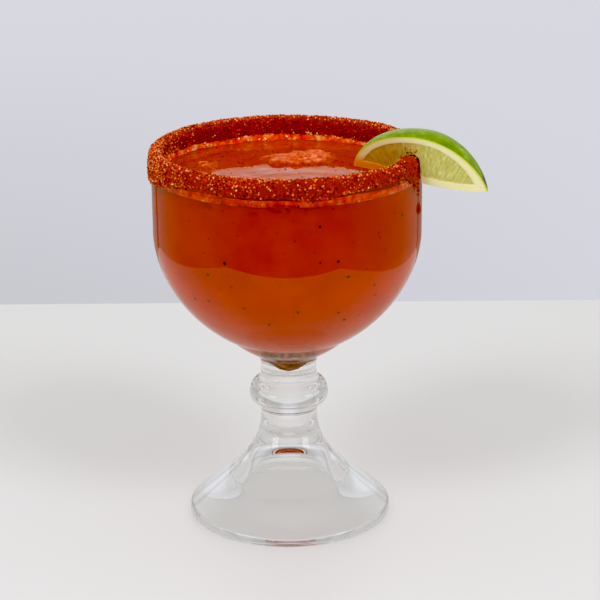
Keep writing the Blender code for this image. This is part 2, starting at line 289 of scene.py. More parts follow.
def outside_of_glass():
    """The outer face, from the resting ring up to the rim."""
    points = arc((FOOT_RADIUS - FOOT_EDGE, FOOT_EDGE), FOOT_EDGE, -90, 0, 8)
    points += bezier(points[-1], ((FOOT_RADIUS, 3.0), (FOOT_RADIUS, 4.0)), (42.6, 4.6), 8)
    points += bezier(points[-1], ((22.8, 21.2), (12.0, 28.6)), (12.0, 46.0), 34)
    knop, neck = KNOP_RADIUS, NECK_RADIUS
    points += bezier(points[-1], ((12.7, 50.4), (knop, 49.4)), (knop, 54.5), 14)
    points += bezier(points[-1], ((knop, 60.5), (neck, 60.3)), (neck, 63.5), 14)
    points.append((neck, 66.5))
    points += bezier(points[-1], ((neck, 74.2), (16.0, 70.7)), (27.6, BOWL_START), 18)
    depth = (BOWL_SHOULDER - BOWL_START) / BOWL_DEPTH
    start = BOWL_RADIUS * (1 - depth ** BOWL_FULLNESS) ** (1 / BOWL_FULLNESS)
    return points + round_bowl(BOWL_RADIUS, BOWL_DEPTH, BOWL_FULLNESS, start, 48)


def inside_of_glass():
    """The cavity, from the tip of its funnel up to the shoulder."""
    bowl = round_bowl(BOWL_RADIUS - WALL, CAVITY_DEPTH, CAVITY_FULLNESS, FUNNEL_MOUTH_RADIUS, 48)
    tip = (0.0, FUNNEL_TIP)
    return [tip] + bezier(tip, ((5.5, FUNNEL_TIP), (7.2, 80.0)), bowl[0], 32) + bowl[1:]


def turning_tree():
    """Turns an outline about the axis, with one row of a grid for each point."""
    tree = Growth("turned", outline="geometry", sides="whole", axis="size", finish="finish")
    count = tree.add("GeometryNodeAttributeDomainSize", None, tree["outline"])
    grid = tree.add("GeometryNodeMeshGrid", None, 1.0, 1.0, tree["sides"] + 1, count)
    cell = tree.add("ShaderNodeSeparateXYZ", None, tree.add("GeometryNodeInputPosition"))
    row = (cell.of("Y") + 0.5) * (count - 1.0)
    row = row.maths("ROUND", row)
    spot = tree.add("GeometryNodeSampleIndex", {"data_type": "FLOAT_VECTOR"}, tree["outline"],
                    tree.add("GeometryNodeInputPosition"), row)
    spot = tree.add("ShaderNodeSeparateXYZ", None, spot)
    angle = (cell.of("X") + 0.5) * math.tau
    place = tree.add("ShaderNodeCombineXYZ", None,
                     spot.of("X") * angle.maths("COSINE", angle) + tree["axis"],
                     spot.of("X") * angle.maths("SINE", angle), spot.of("Z"))
    shell = tree.add("GeometryNodeSetPosition", None, grid, Position=place)
    shell = tree.add("GeometryNodeMergeByDistance", None, shell, Distance=0.001 * MM)
    tree.end(tree.add("GeometryNodeSetShadeSmooth", None, shell))
    return tree


turned = turning_tree()


def turn(name, outline, sides, finish):
    """A turned piece from (radius, height) points in millimetres, inner side last."""
    mesh = bpy.data.meshes.new(name + "_outline")
    mesh.from_pydata([(radius * MM, 0.0, height * MM) for radius, height in outline],
                     [(i, i + 1) for i in range(len(outline) - 1)], [])
    return turned.make(name, mesh, sides=sides, axis=AXIS_X, finish=finish.material)


def clear_glass():
    """Polished glass with the faint waviness that the mould leaves in it."""
    finish = Finish("clear_glass", Base_Color=GLASS_BODY_COLOUR, Roughness=0.0,
                    IOR=GLASS_INDEX, Transmission_Weight=1.0)
    finish.bump(finish.noise(70.0, detail=1.0), 0.05 * MM, 0.25)
    finish.let_light_through()
    return finish


outline = (under_foot() + outside_of_glass()
           + arc((LIP_RADIUS, LIP_HEIGHT), WALL / 2, 0, 180, 16) + inside_of_glass()[::-1])
glass = turn("goblet", outline, GLASS_SIDES, clear_glass())
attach(glass, "root")
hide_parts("glass")


# The drink
# Beer with tomato and clam juice, lime and hot sauce: cloudy, orange-red and nearly opaque.  It
# wets the inside of the glass, so it is made to reach just into the wall, and it climbs the wall
# a little at its edge.  Ground spice darkens it in patches just under the surface.

DRINK_LEVEL = 151.7
INTO_THE_WALL = 0.1
SPICE_LEVEL = 83.4
SPICE_HEAP = 1.0
MENISCUS_HEIGHT = 0.7
MENISCUS_REACH = 1.5
DRINK_COLOUR = (0.43, 0.016, 0.002)
DRINK_CLOUD_COLOUR = (0.48, 0.028, 0.003)
# Painted light: how much lighter the drink is made low in the bowl, for the light of the pale
# board.
PAINTED_LIGHT_BELOW = (1.30, 1.15, 1.3)
# Painted light: the tint that makes the open top of the drink paler than its sides.
PAINTED_TOP_LIGHT_TINT = (0.92, 1.5, 1.6)
SPICE_STAIN_COLOUR = (0.30, 0.006, 0.002)
STAINS_FROM = (146.5, 149.5)
STAINS_TO = (150.6, 151.6)
# Painted light: the heights over which the lighter drink low in the bowl fades into its own
# colour.
PAINTED_LIGHT_FADES_BETWEEN = (108.0, 128.0)
LIGHT_REACH_IN_DRINK = (1.0, 0.22, 0.06)


def inset(points, distance):
    """Points of the cavity moved away from the wall; a negative distance moves into it."""
    moved = []
    for index, point in enumerate(points):
        before = points[max(index - 1, 0)]
        after = points[min(index + 1, len(points) - 1)]
        if point[0] == 0.0:
            before = (-after[0], after[1])
        along = Vector((after[0] - before[0], after[1] - before[1])).normalized()
        moved.append((point[0] - along.y * distance, point[1] + along.x * distance))
    return moved


def part_between(points, low, high):
    """The part of a rising outline from one height to another, ending exactly at both."""
    def at(level):
        for below, above in zip(points, points[1:]):
            if below[1] <= level <= above[1]:
                share = (level - below[1]) / (above[1] - below[1])
                return below[0] + share * (above[0] - below[0]), level
        return points[0]
    return [at(low)] + [point for point in points if low < point[1] < high] + [at(high)]


def cavity_against_wall(low, high):
    """The side of what fills the cavity, a little inside the wall."""
    return part_between(inset(inside_of_glass() + [(BOWL_RADIUS - WALL, GLASS_HEIGHT)],
                              -INTO_THE_WALL), low, high)


def top_of_spice():
    """The heap of spice under the drink, from the axis out to the wall."""
    reach = cavity_against_wall(SPICE_LEVEL, DRINK_LEVEL)[0][0]
    return [(reach * share, SPICE_LEVEL + SPICE_HEAP * (1 - share ** 2))
            for share in (0.0, 0.2, 0.4, 0.6, 0.8, 1.0)]


def drink_outline():
    edge = DRINK_LEVEL + MENISCUS_HEIGHT
    side = cavity_against_wall(SPICE_LEVEL, edge)
    reach = side[-1][0]
    side[-1:] = [(reach, edge - 2.0), (reach, edge - 0.5), (reach, edge)]
    top = []
    for step in range(1, 40):
        radius = reach * (1 - (step / 40) ** 1.6)
        rise = MENISCUS_HEIGHT * math.exp(-(reach - radius) / MENISCUS_REACH)
        top.append((radius, DRINK_LEVEL + rise))
    return top_of_spice() + side[1:] + top + [(0.0, DRINK_LEVEL)]


def cloudy_colour(finish):
    """The colour of the drink, with clouds of pulp, stains of spice near the surface and painted
    light low in the bowl.
    """
    place = finish.place()
    clouds = finish.between(finish.noise(55.0, 3.0, 0.6, at=place), 0.35, 0.70)
    colour = finish.mix(clouds, DRINK_COLOUR, DRINK_CLOUD_COLOUR)
    xyz = finish.xyz()
    height = xyz.of("Z") / MM
    band = finish.between(height, *STAINS_FROM) * (1.0 - finish.between(height, *STAINS_TO))
    sideways = xyz.of("X") - AXIS_X
    front = finish.between(sideways * -1.0, -12 * MM, -2 * MM)
    front = front * finish.between(xyz.of("Y") * -1.0, 38 * MM, 44 * MM)
    patches = finish.between(finish.noise(190.0, 2.0, 0.5, at=place), 0.50, 0.60)
    # Painted light: the drink low in the bowl is lighter, for the light that the pale board throws
    # up into it.
    colour = finish.mix(finish.between(height, *PAINTED_LIGHT_FADES_BETWEEN), colour * PAINTED_LIGHT_BELOW, colour)
    return finish.mix(band * front * patches * 0.75, colour, SPICE_STAIN_COLOUR)


def drink_finish(name, index, shade=(1.0, 1.0, 1.0)):
    """Cloudy liquid, with its refractive index against what lies on it; shade tints its colour."""
    finish = Finish(name, Roughness=0.0, IOR=index, Subsurface_Weight=1.0,
                    Subsurface_Radius=LIGHT_REACH_IN_DRINK, Subsurface_Scale=6 * MM)
    finish.set(Base_Color=cloudy_colour(finish) * shade)
    return finish


drink = turn("cloudy_drink", drink_outline(), 192, drink_finish("drink_against_glass", 1.07))
drink.data.set_sharp_from_angle(angle=math.radians(30.0))
# Painted light: the top of the drink is the same liquid tinted paler in green and blue, for the
# room's light on its open face.
surface_finish = drink_finish("drink_surface", 1.34, PAINTED_TOP_LIGHT_TINT)
surface_finish.bump(surface_finish.noise(60.0, 2.0), 0.25 * MM, 0.7)
drink.data.materials.append(surface_finish.material)
surface_slot = drink.data.materials.find(surface_finish.material.name)
for face in drink.data.polygons:
    if face.center.z > (DRINK_LEVEL - 0.05) * MM and face.normal.z > 0.05:
        face.material_index = surface_slot
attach(drink, "root")
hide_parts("drink")


# The settled spice
# Chilli, pepper and celery seed that have sunk into the funnel at the bottom of the bowl.  The
# heap is packed against the wall, so its grains show through the glass one by one.


def made_mesh(name, mesh_edit):
    mesh = bpy.data.meshes.new(name)
    mesh_edit.to_mesh(mesh)
    mesh_edit.free()
    return mesh


def grain_shapes(name, count, flatness, jitter, seed):
    """A few different chips of 20 faces, about 1 m across, for a scattering."""
    draw = random.Random(seed)
    shapes = bpy.data.collections.new(name)
    for index in range(count):
        mesh_edit = bmesh.new()
        bmesh.ops.create_icosphere(mesh_edit, subdivisions=1, radius=0.5)
        for point in mesh_edit.verts:
            point.co *= 1 + draw.uniform(-jitter, jitter)
            point.co.z *= flatness
        mesh = made_mesh(f"{name}_{index}", mesh_edit)
        shapes.objects.link(bpy.data.objects.new(mesh.name, mesh))
    return shapes


def scattering_tree():
    """Chips on a surface, each with its own turn, size and tone, thick where "open" is 1."""
    tree = Growth("scattered", surface="geometry", shapes="shapes", spacing="size",
                  per_area="size", smallest="size", largest="size", sunk="size", seed="whole",
                  finish="finish")
    share = tree.add("GeometryNodeInputNamedAttribute", {"data_type": "FLOAT"}, "open")
    spots = tree.add("GeometryNodeDistributePointsOnFaces", {"distribute_method": "POISSON"},
                     tree["surface"], share, tree["spacing"], tree["per_area"], share,
                     tree["seed"])
    lowered = tree.add("GeometryNodeSetPosition", None, spots,
                       Offset=spots.of("Normal") * (tree["sunk"] * -1.0))
    kinds = tree.add("GeometryNodeCollectionInfo", None, tree["shapes"], True, True)
    which = tree.add("FunctionNodeRandomValue", {"data_type": "INT"}, 0, 99, Seed=tree["seed"])
    tumble = tree.add("FunctionNodeRandomValue", {"data_type": "FLOAT_VECTOR"}, (0.0,) * 3,
                      (math.tau,) * 3, Seed=tree["seed"] + 1)
    size = tree.add("FunctionNodeRandomValue", {"data_type": "FLOAT"}, tree["smallest"],
                    tree["largest"], Seed=tree["seed"] + 2)
    chips = tree.add("GeometryNodeInstanceOnPoints", None, lowered, Instance=kinds,
                     Pick_Instance=True, Instance_Index=which, Rotation=tumble, Scale=size)
    tone = tree.add("FunctionNodeRandomValue", {"data_type": "FLOAT"}, 0.0, 1.0,
                    Seed=tree["seed"] + 3)
    tree.end(tree.add("GeometryNodeStoreNamedAttribute",
                      {"data_type": "FLOAT", "domain": "INSTANCE"}, chips, Name="tone",
                      Value=tone))
    return tree


scattered = scattering_tree()


def scatter(name, surface, share_at, shapes, finish, spacing, per_area, sizes, sunk, seed):
    """One piece of chips on a mesh, lying as thickly as share_at says, from 0 to 1.

    Lengths are in millimetres, and per_area is the most chips in each square one.
    """
    mesh = surface.copy()
    layer = mesh.attributes.new("open", "FLOAT", "POINT")
    layer.data.foreach_set("value", [share_at(point.co) for point in mesh.vertices])
    return scattered.make(name, mesh, shapes=shapes, spacing=spacing * MM,
                          per_area=per_area / MM ** 2, smallest=sizes[0] * MM,
                          largest=sizes[1] * MM, sunk=sunk * MM, seed=seed,
                          finish=finish.material)


def grain_finish(name, *stops, **constants):
    """Grains whose colour goes by their own tone, darker and lighter in patches."""
    finish = Finish(name, **constants)
    tone = finish.add("ShaderNodeAttribute", {"attribute_name": "tone"}).of("Fac")
    patches = finish.noise(170.0, 2.0, 0.6)
    finish.set(Base_Color=finish.ramp(tone * 0.75 + patches * 0.5 - 0.125, *stops))
    return finish


def spice_finish():
    finish = Finish("wet_spice", Roughness=0.5, IOR=1.12)
    cells = finish.add("ShaderNodeTexVoronoi", None, Vector=finish.place(), Scale=900.0)
    patches = finish.noise(420.0, 3.0, 0.6)
    mixed = cells.of("Color").maths("DOT_PRODUCT", cells.of("Color"), (0.5, 0.5, 0.0))
    finish.set(Base_Color=finish.ramp(mixed.of("Value") * 0.5 + patches * 0.5,
                                      (0.30, (0.03, 0.004, 0.003)), (0.45, (0.11, 0.016, 0.008)),
                                      (0.58, (0.27, 0.050, 0.024)), (0.72, (0.56, 0.19, 0.10))))
    return finish


spice = turn("settled_spice", cavity_against_wall(0.0, SPICE_LEVEL) + top_of_spice()[-2::-1], 96,
             spice_finish())
spice_grains = scatter(
    "settled_spice_grains", spice.data, lambda point: 1.0,
    grain_shapes("spice_chips", 5, 0.7, 0.35, 11),
    grain_finish("spice_grains", (0.1, (0.03, 0.005, 0.003)), (0.45, (0.20, 0.032, 0.014)),
                 (0.70, (0.48, 0.11, 0.045)), (0.95, (0.72, 0.30, 0.16)), Roughness=0.6, IOR=1.1),
    spacing=0.75, per_area=1.6, sizes=(0.55, 1.15), sunk=0.15, seed=3)
for piece in (spice, spice_grains):
    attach(piece, "root")
    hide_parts("sediment")


# The specks in the drink
# Coarse black pepper and chilli that hang in the drink.  Those that touch the wall show as dark
# dots through the glass, and a few float on the surface.  Each is sunk in the drink.

# Where the larger ones are, as azimuth in degrees and height in millimetres.
LARGE_SPECKS = (
    (-85, 151.6), (-117, 127), (-76, 143), (-68, 128), (-126, 121), (-115, 117), (-130, 109),
    (-140, 108), (-85, 107), (-100, 101), (-45, 110), (-48, 115), (-64, 105), (-58, 101),
    (-49, 102), (-32, 141), (-48, 137), (-63, 121), (-111, 108), (-66, 98),
)


def drink_radius(height):
    """How far from the axis the side of the drink is at a height, in millimetres."""
    if height >= BOWL_SHOULDER:
        return BOWL_RADIUS - WALL + INTO_THE_WALL
    return cavity_against_wall(height, DRINK_LEVEL)[0][0]


def make_large_specks(finish):
    draw = random.Random(41)
    mesh_edit = bmesh.new()
    for azimuth, height in LARGE_SPECKS:
        about_axis = Matrix.Rotation(math.radians(azimuth), 3, "Z")
        middle = Vector((drink_radius(height), 0.0, height))
        size = draw.uniform(0.85, 1.45)
        made = bmesh.ops.create_icosphere(mesh_edit, subdivisions=2, radius=size / 2)
        stretch = Vector((0.45, draw.uniform(0.7, 1.3), draw.uniform(0.7, 1.2)))
        for point in made["verts"]:
            jitter = 1 + 0.35 * noise.noise(point.co * 3 + Vector((azimuth, height, 0)))
            point.co = about_axis @ (middle + point.co * stretch * jitter) * MM + AXIS
    mesh = made_mesh("pepper_specks_large", mesh_edit)
    mesh.shade_smooth()
    mesh.materials.append(finish.material)
    return put("pepper_specks_large", mesh)


speck_finish = Finish("black_pepper", Base_Color=(0.045, 0.008, 0.004), Roughness=0.6, IOR=1.12)
small_specks = scatter(
    "pepper_specks", drink.data, lambda point: 1.0 if point.z > 90 * MM else 0.0,
    grain_shapes("speck_chips", 4, 0.6, 0.35, 12), speck_finish,
    spacing=2.5, per_area=0.022, sizes=(0.40, 0.90), sunk=0.05, seed=8)
for piece in (small_specks, make_large_specks(speck_finish)):
    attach(piece, "root")


# The ice
# Two lumps of ice that float with their backs out of the drink, melted smooth where the drink
# wets them and rough with froth and pulp on top.  They are stained by the drink.


def copy_of_node(name):
    """A CAD node's shape, with its loose triangles joined."""
    mesh_edit = bmesh.new()
    mesh_edit.from_mesh(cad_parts[name].data)
    bmesh.ops.remove_doubles(mesh_edit, verts=mesh_edit.verts, dist=0.001 * MM)
    return mesh_edit


def finer(mesh_edit, name, levels):
    """An object of a shape that is rounded by subdividing it."""
    item = put(name, made_mesh(name + "_rough", mesh_edit))
    rounding = item.modifiers.new("rounding", "SUBSURF")
    rounding.levels = rounding.render_levels = levels
    return settle(item)


def clamped(value):
    return min(max(value, 0.0), 1.0)


def rest_inside(point, low, high):
    return Vector(min(max(value, least), most) for value, least, most in zip(point, low, high))


def make_ice(name, node, roughness_at):
    ice = finer(copy_of_node(node), name, 4)
    low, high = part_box(node)
    for point in ice.data.vertices:
        away = (point.co - (low + high) / 2).normalized()
        rough = roughness_at(point.co)
        outline = noise.noise(Vector((point.co.x, point.co.y, 0.0)) / (5.0 * MM))
        coarse = noise.noise(point.co / (2.2 * MM))
        fine = noise.noise(point.co / (0.9 * MM) + Vector((7.0, 0.0, 0.0)))
        away.z *= 0.5
        point.co = rest_inside(
            point.co + away * (2.2 * outline - 0.6 + rough * (coarse + 0.5 * fine)) * MM,
            low, high)
    ice.data.shade_smooth()
    ice.data.materials.append(ice_finish.material)
    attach(ice, "root")
    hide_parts(node)


def ice_colour():
    """Pale and frothy on top, and the colour of the drink where it wets the lump."""
    finish = Finish("stained_ice", Roughness=0.35, IOR=1.22, Subsurface_Weight=1.0,
                    Subsurface_Radius=(1.0, 0.4, 0.2), Subsurface_Scale=1.2 * MM)
    height = finish.xyz().of("Z") / MM
    dry = finish.between(height + 1.6 * finish.noise(500.0, 2.0), 152.6, 154.2)
    patches = finish.noise(380.0, 4.0, 0.7) - 0.16 * (1.0 - dry)
    finish.set(Base_Color=finish.ramp(patches, (0.34, (0.36, 0.022, 0.006)),
                                      (0.50, (0.60, 0.080, 0.035)), (0.68, (0.86, 0.28, 0.15))))
    finish.bump(finish.noise(1500.0, 3.0, 0.6), 0.20 * MM, 0.8)
    return finish


ice_finish = ice_colour()
make_ice("large_ice", "ice_large",
         lambda point: 0.15 + 0.85 * clamped((point.x - AXIS_X + 4 * MM) / (8 * MM)))
make_ice("small_ice", "ice_small", lambda point: 0.8)


# The crust on the rim
# The wet rim was dipped in coarse salt ground with chilli and dried lime.  A sticky paste of sauce
# and fine chilli holds the grains, dark flakes of chilli, orange grains and stained crystals of
# salt, which lie several deep and run down the glass here and there.

CRUST_SETTLED = 0.80
CRUST_ROUGHNESS = 0.15
CRUST_LOW_PART = 158.0
PILE_AZIMUTH = -24.0


def from_wall(point):
    """The way from the middle of the wall or lip to a point, in metres."""
    outward = Vector((point.x - AXIS_X, point.y, 0.0))
    level = min(point.z, LIP_HEIGHT * MM)
    nearest = outward.normalized() * LIP_RADIUS * MM + Vector((AXIS_X, 0.0, level))
    return point - nearest


def outside_wall(point):
    """1 where the crust stands clear of the glass, 0 where it is inside the wall."""
    clear = from_wall(point).length - (WALL / 2 - CRUST_SETTLED + 0.45) * MM
    return clamped(clear / (0.1 * MM))


def make_paste():
    """The core of the crust: the CAD ring, drawn in to lie on the glass under its grains."""
    mesh_edit = copy_of_node("rim_crust")
    bmesh.ops.subdivide_edges(mesh_edit, edges=mesh_edit.edges, cuts=1, use_grid_fill=True)
    for point in mesh_edit.verts:
        unevenness = CRUST_ROUGHNESS * noise.noise(point.co / (0.7 * MM)) * outside_wall(point.co)
        point.co += from_wall(point.co).normalized() * (unevenness - CRUST_SETTLED) * MM
    mesh = made_mesh("crust_paste", mesh_edit)
    mesh.shade_smooth()
    return put("crust_paste", mesh)


paste = make_paste()
paste_finish = Finish("chilli_paste", Roughness=0.4, IOR=1.25, Base_Color=(0.30, 0.009, 0.014))
paste.data.materials.append(paste_finish.material)
flakes = grain_shapes("chilli_chips", 6, 0.45, 0.30, 21)
lumps = grain_shapes("round_chips", 6, 0.8, 0.25, 22)


def golden_grains_and_painted_light(point):
    """How golden the crust is: most on its lit ridge (painted light) and left, least inside and by
    the lime.
    """
    way = from_wall(point)
    middle = Vector((point.x - AXIS_X, point.y, 0.0)).normalized()
    outward = way.dot(middle) / way.length
    ridge = clamped((way.z / way.length - 0.2) / 0.6)
    left = clamped(-middle.x * 4.0 - 2.6)
    inside = clamped(-outward * 2.0) * clamped(middle.y * 2.0)
    low = clamped((CRUST_LOW_PART - point.z / MM) / 3.0)
    azimuth = math.degrees(math.atan2(middle.y, middle.x))
    pile = clamped(1 - abs(azimuth - PILE_AZIMUTH) / 12.0)
    far_ridge = ridge * clamped(middle.y * 3.0)
    # Painted light and shade: the ridge terms put the golden grains where light falls on the top
    # of the crust, and the low term thins them low down.
    share = (0.24 + 0.35 * ridge + 1.4 * far_ridge + 0.50 * left - 0.40 * inside
             - 0.16 * low - 0.35 * pile)
    return min(max(share, 0.03), 1.0)


def clumped(point, size, seed, usual):
    """How thickly one kind lies, in clumps of a size in millimetres."""
    place = point / (size * MM) + Vector((seed, 0.0, 0.0))
    clump = noise.noise(place) + 0.5 * noise.noise(place * 2.3)
    return outside_wall(point) * clamped(usual * (1 + 1.6 * clump))


# The grains lie by the golden share above, so its painted light shows in where the golden grains
# and the dark flakes lie.
crust_grains = (
    scatter("chilli_flakes", paste.data,
            lambda point: clumped(point, 5.0, 1.0, 1.0 - 0.3 * golden_grains_and_painted_light(point)), flakes,
            grain_finish("dark_chilli", (0.15, (0.14, 0.004, 0.013)), (0.5, (0.36, 0.009, 0.022)),
                         (0.85, (0.56, 0.034, 0.026)), Roughness=0.4, IOR=1.3),
            spacing=0.62, per_area=1.7, sizes=(0.80, 1.50), sunk=0.0, seed=31),
    scatter("chilli_grains", paste.data,
            lambda point: clumped(point, 4.0, 7.0, golden_grains_and_painted_light(point)), lumps,
            grain_finish("orange_chilli", (0.15, (0.46, 0.022, 0.020)), (0.5, (0.70, 0.10, 0.045)),
                         (0.85, (0.84, 0.27, 0.11)), Roughness=0.32, IOR=1.4),
            spacing=0.66, per_area=1.5, sizes=(0.65, 1.15), sunk=-0.10, seed=47),
    scatter("salt_crystals", paste.data,
            lambda point: clumped(point, 3.0, 13.0, 0.8 * golden_grains_and_painted_light(point)), lumps,
            grain_finish("stained_salt", (0.15, (0.74, 0.17, 0.07)), (0.5, (0.84, 0.32, 0.14)),
                         (0.85, (0.92, 0.50, 0.27)), Roughness=0.25, IOR=1.45),
            spacing=1.0, per_area=0.28, sizes=(0.55, 0.95), sunk=-0.18, seed=53),
)
for piece in (paste, *crust_grains):
    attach(piece, "root")
    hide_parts("rim_crust")


# The sauce on the inner wall
# Hot sauce and wet spice that have run from the crust down to the drink.  It is a thin uneven
# film that wets the wall all the way round, with pale wet grains in it at the far side.

SAUCE_RING = ((53.55, 151.2), (53.55, 156.0), (53.1, 156.6), (53.05, 156.0), (53.05, 155.0),
              (53.05, 154.2), (53.05, 153.4), (53.05, 152.6), (53.1, 152.0), (53.2, 151.4))
SAUCE_FACE = 53.3
PALE_GRAINS_BETWEEN = (152.6, 155.6)


def sauce_finish():
    finish = Finish("sauce_film", Roughness=0.12, IOR=1.38, Subsurface_Weight=0.5,
                    Subsurface_Radius=(1.0, 0.3, 0.1), Subsurface_Scale=0.6 * MM)
    patches = finish.noise(300.0, 4.0, 0.65)
    # Painted light: the film at the far side of the glass is paler, for light shining through it
    # from behind.
    behind = finish.between(finish.xyz().of("Y"), 5 * MM, 35 * MM)
    finish.set(Base_Color=finish.ramp(
        patches + behind * 0.08, (0.36, (0.56, 0.010, 0.008)), (0.50, (0.92, 0.038, 0.022)),
        (0.60, (0.95, 0.12, 0.045)), (0.70, (0.95, 0.50, 0.26))))
    return finish


def make_sauce():
    sauce = turn("sauce_on_the_wall", [*SAUCE_RING, SAUCE_RING[0]], 480, sauce_finish())
    for point in sauce.data.vertices:
        middle = Vector((point.co.x - AXIS_X, point.co.y, 0.0))
        if middle.length < SAUCE_FACE * MM:
            lump = noise.noise(point.co / (3.0 * MM)) + 0.6 * noise.noise(point.co / (1.2 * MM))
            point.co -= middle.normalized() * max(0.5 * lump, -0.25) * MM
    return sauce


def on_the_film(point):
    """Most on the far side, and only on the open face of the film."""
    low, high = PALE_GRAINS_BETWEEN
    if low * MM < point.z < high * MM and from_wall(point).length > 1.7 * MM:
        return min(max(point.y / (40 * MM), 0.08), 1.0)
    return 0.0


sauce = make_sauce()
wet_grains = scatter(
    "wet_grains", sauce.data, on_the_film, lumps,
    grain_finish("pale_wet_grains", (0.15, (0.80, 0.20, 0.06)), (0.5, (0.92, 0.50, 0.24)),
                 (0.85, (0.98, 0.80, 0.52)), Roughness=0.12, IOR=1.45),
    spacing=1.2, per_area=0.45, sizes=(0.8, 1.7), sunk=0.15, seed=61)
for piece in (sauce, wet_grains):
    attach(piece, "root")


# The lime
# An eighth of a small lime, cut from end to end, with the tips of its core at both ends.  The
# waxy rind is thin over a cream pith, the wet flesh is made of long juice sacs that fan out from
# the core, and a slit from below holds the wedge on the rim.

LIME_AZIMUTH = math.radians(-17.2)
LIME_FROM_AXIS = 57.3
LIME_CORE_HEIGHT = 152.8
LIME_TILT = math.radians(7.2)
LIME_HALF_LENGTH = 28.4
LIME_RADIUS = 20.3
LIME_HALF_ANGLE = math.radians(21.3)
LIME_SAG = 1.8
LIME_TAPER = 1.455
SLIT_CLEARANCE = 1.3
PITH_THICKNESS = 2.9
CORE_THICKNESS = 3.1
FLESH_RELIEF = 0.30
STEM_SCAR = (79.2, 79.9)
LIME_FACTS = ("across", "up", "flesh", "depth", "peel")


def rind_radius(along):
    """The radius of the lime, from its inner end at -1 to its outer end, which tapers, at 1."""
    taper = LIME_TAPER if along > 0 else 1.0
    return LIME_RADIUS * (1 - along ** 2) ** (taper / 2)


def under_rind(along, radius):
    """About how deep under the rind a point of the lime is, in millimetres."""
    taper = LIME_TAPER if along > 0 else 1.0
    reach = math.sqrt(max(1 - (radius / LIME_RADIUS) ** (2 / taper), 0.0))
    outward = max(rind_radius(along) - radius, 0.0)
    endward = max((reach - abs(along)) * LIME_HALF_LENGTH, 0.0)
    return outward * endward / math.hypot(outward, endward) if outward * endward else 0.0


def lime_shape():
    """The wedge before it is cut and placed, as rings of points with facts about each."""
    stations, face_steps, rind_steps = 190, 66, 30
    mesh_edit = bmesh.new()
    across, up, flesh, depth, peel = [mesh_edit.verts.layers.float.new(name)
                                      for name in LIME_FACTS]
    rings = []
    for station in range(1, stations):
        along = -math.cos(math.pi * station / stations)
        sag = LIME_SAG * (1 - along ** 2) * (1 + along)
        radius = rind_radius(along)
        ring = []
        for side in (-1, 1):
            edge = Vector((side * radius * math.sin(LIME_HALF_ANGLE),
                           radius * math.cos(LIME_HALF_ANGLE)))
            face = []
            for step in range(face_steps + 1):
                share = step / face_steps
                y, z = edge.x * share, -sag + (edge.y + sag) * share
                height = math.hypot(y, z + sag)
                from_rind = under_rind(along, math.hypot(y, z))
                pith = PITH_THICKNESS * (1 + 0.5 * max(along, 0.0) ** 2)
                is_flesh = (clamped((from_rind - pith) / 0.5)
                            * clamped((height - CORE_THICKNESS) / 0.6))
                fan = along * LIME_HALF_LENGTH / (1 + 0.035 * height)
                sacs = noise.noise(Vector((fan / 0.75, height / 4.5, side * 9.0)))
                sacs += 0.5 * noise.noise(Vector((fan / 0.4, height / 2.2, side * 5.0)))
                lift = is_flesh * FLESH_RELIEF * (sacs - 0.1) - 0.25 * is_flesh
                normal = Vector((side * math.cos(LIME_HALF_ANGLE), -math.sin(LIME_HALF_ANGLE)))
                point = mesh_edit.verts.new((along * LIME_HALF_LENGTH, y + normal.x * lift,
                                             z + normal.y * lift))
                point[across], point[up], point[flesh] = fan, height, is_flesh
                point[depth] = max(from_rind, 0.0)
                face.append(point)
            ring.append(face)
        rind = []
        for step in range(1, rind_steps):
            angle = LIME_HALF_ANGLE * (2 * step / rind_steps - 1)
            dimple = 0.06 * noise.noise(Vector((along * 25.0, angle * 18.0, 3.0)))
            point = mesh_edit.verts.new((along * LIME_HALF_LENGTH,
                                         (radius + dimple) * math.sin(angle),
                                         (radius + dimple) * math.cos(angle)))
            point[peel] = 1.0
            rind.append(point)
        left, right = ring
        left[-1][peel] = right[-1][peel] = 1.0
        rings.append(left + rind + right[::-1][:-1])
        mesh_edit.verts.remove(right[0])
    tips = [mesh_edit.verts.new((side * LIME_HALF_LENGTH, 0.0, 0.0)) for side in (-1, 1)]
    for tip in tips:
        tip[peel] = 1.0
    for ring, following in zip(rings, rings[1:]):
        for index in range(len(ring)):
            after = (index + 1) % len(ring)
            mesh_edit.faces.new((ring[index], ring[after], following[after], following[index]))
    for tip, ring in ((tips[0], rings[0]), (tips[1], rings[-1])):
        for index in range(len(ring)):
            mesh_edit.faces.new((tip, ring[index], ring[(index + 1) % len(ring)]))
    bmesh.ops.recalc_face_normals(mesh_edit, faces=mesh_edit.faces)
    return mesh_edit


def slit_cutter():
    """A ring round the rim that is as wide as the slit and opens downwards."""
    half = WALL / 2 + SLIT_CLEARANCE
    bottom = LIME_CORE_HEIGHT - LIME_HALF_LENGTH
    section = arc((LIP_RADIUS, LIP_HEIGHT), half, 0, 180, 10)
    section += [(LIP_RADIUS - half, bottom), (LIP_RADIUS + half, bottom)]
    mesh_edit = bmesh.new()
    points = [mesh_edit.verts.new((radius * MM, 0.0, height * MM)) for radius, height in section]
    edges = [mesh_edit.edges.new(pair) for pair in zip(points, points[1:] + points[:1])]
    bmesh.ops.spin(mesh_edit, geom=points + edges, cent=(0, 0, 0), axis=(0, 0, 1),
                   angle=math.tau, steps=180, use_merge=True)
    bmesh.ops.recalc_face_normals(mesh_edit, faces=mesh_edit.faces)
    bmesh.ops.translate(mesh_edit, verts=mesh_edit.verts, vec=AXIS)
    return bpy.data.objects.new("slit_cutter", made_mesh("slit_cutter", mesh_edit))


